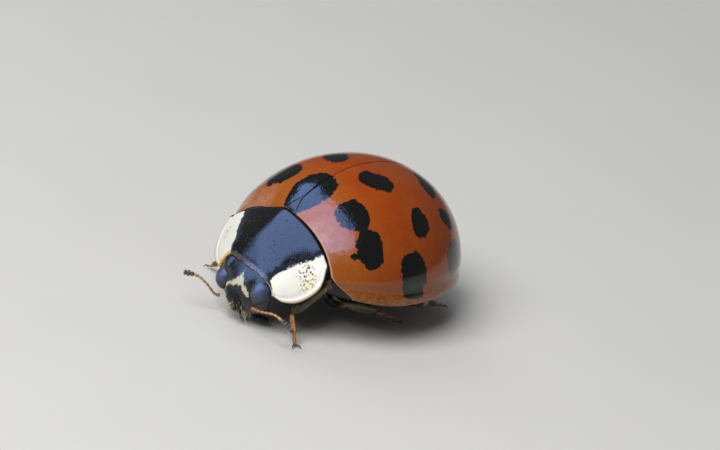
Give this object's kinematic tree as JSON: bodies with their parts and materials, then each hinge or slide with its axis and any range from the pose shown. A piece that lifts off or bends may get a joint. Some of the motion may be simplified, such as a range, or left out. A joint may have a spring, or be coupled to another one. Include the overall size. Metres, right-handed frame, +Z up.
{
  "type": "harlequin ladybird",
  "caption": "Life-size still model of an orange ladybird with black spots, standing on its feet: domed wing cases, black and white pronotum, head, feelers and legs.",
  "frame": {"origin": "on the floor, under the middle of the whole outline with feelers and feet", "axes": "+X is the insect's left, -Y the way it faces, +Z up from the floor it stands on"},
  "size_m": [0.0056, 0.0076, 0.0039],
  "materials": {
    "wing_case": "glossy chitin, orange with black spots",
    "shield": "glossy chitin, black with white sides",
    "scutellum": "glossy black chitin",
    "head_plate": "glossy black chitin with a cream mark",
    "eye": "fine facets, glossy",
    "mouthparts": "glossy black chitin",
    "feeler": "satin amber segments",
    "feeler_club": "satin black",
    "underside": "satin black and brown plates",
    "leg": "satin brown chitin",
    "foot": "satin amber, hairy"
  },
  "bodies": {
    "root": {"abdomen": "underside", "antenna_club_left": "feeler_club", "antenna_club_right": "feeler_club", "antenna_left": "feeler", "antenna_right": "feeler", "clypeus": "mouthparts", "coxa_front_left": "underside", "coxa_front_right": "underside", "coxa_hind_left": "underside", "coxa_hind_right": "underside", "coxa_middle_left": "underside", "coxa_middle_right": "underside", "elytron_left": "wing_case", "elytron_right": "wing_case", "eye_left": "eye", "eye_right": "eye", "femur_front_left": "leg", "femur_front_right": "leg", "femur_hind_left": "leg", "femur_hind_right": "leg", "femur_middle_left": "leg", "femur_middle_right": "leg", "head": "head_plate", "labrum": "mouthparts", "palp_left": "mouthparts", "palp_right": "mouthparts", "pronotum": "shield", "prothorax": "underside", "scutellum": "scutellum", "tarsus_front_left": "foot", "tarsus_front_right": "foot", "tarsus_hind_left": "foot", "tarsus_hind_right": "foot", "tarsus_middle_left": "foot", "tarsus_middle_right": "foot", "thorax": "underside", "tibia_front_left": "leg", "tibia_front_right": "leg", "tibia_hind_left": "leg", "tibia_hind_right": "leg", "tibia_middle_left": "leg", "tibia_middle_right": "leg"}
  },
  "joints": []
}
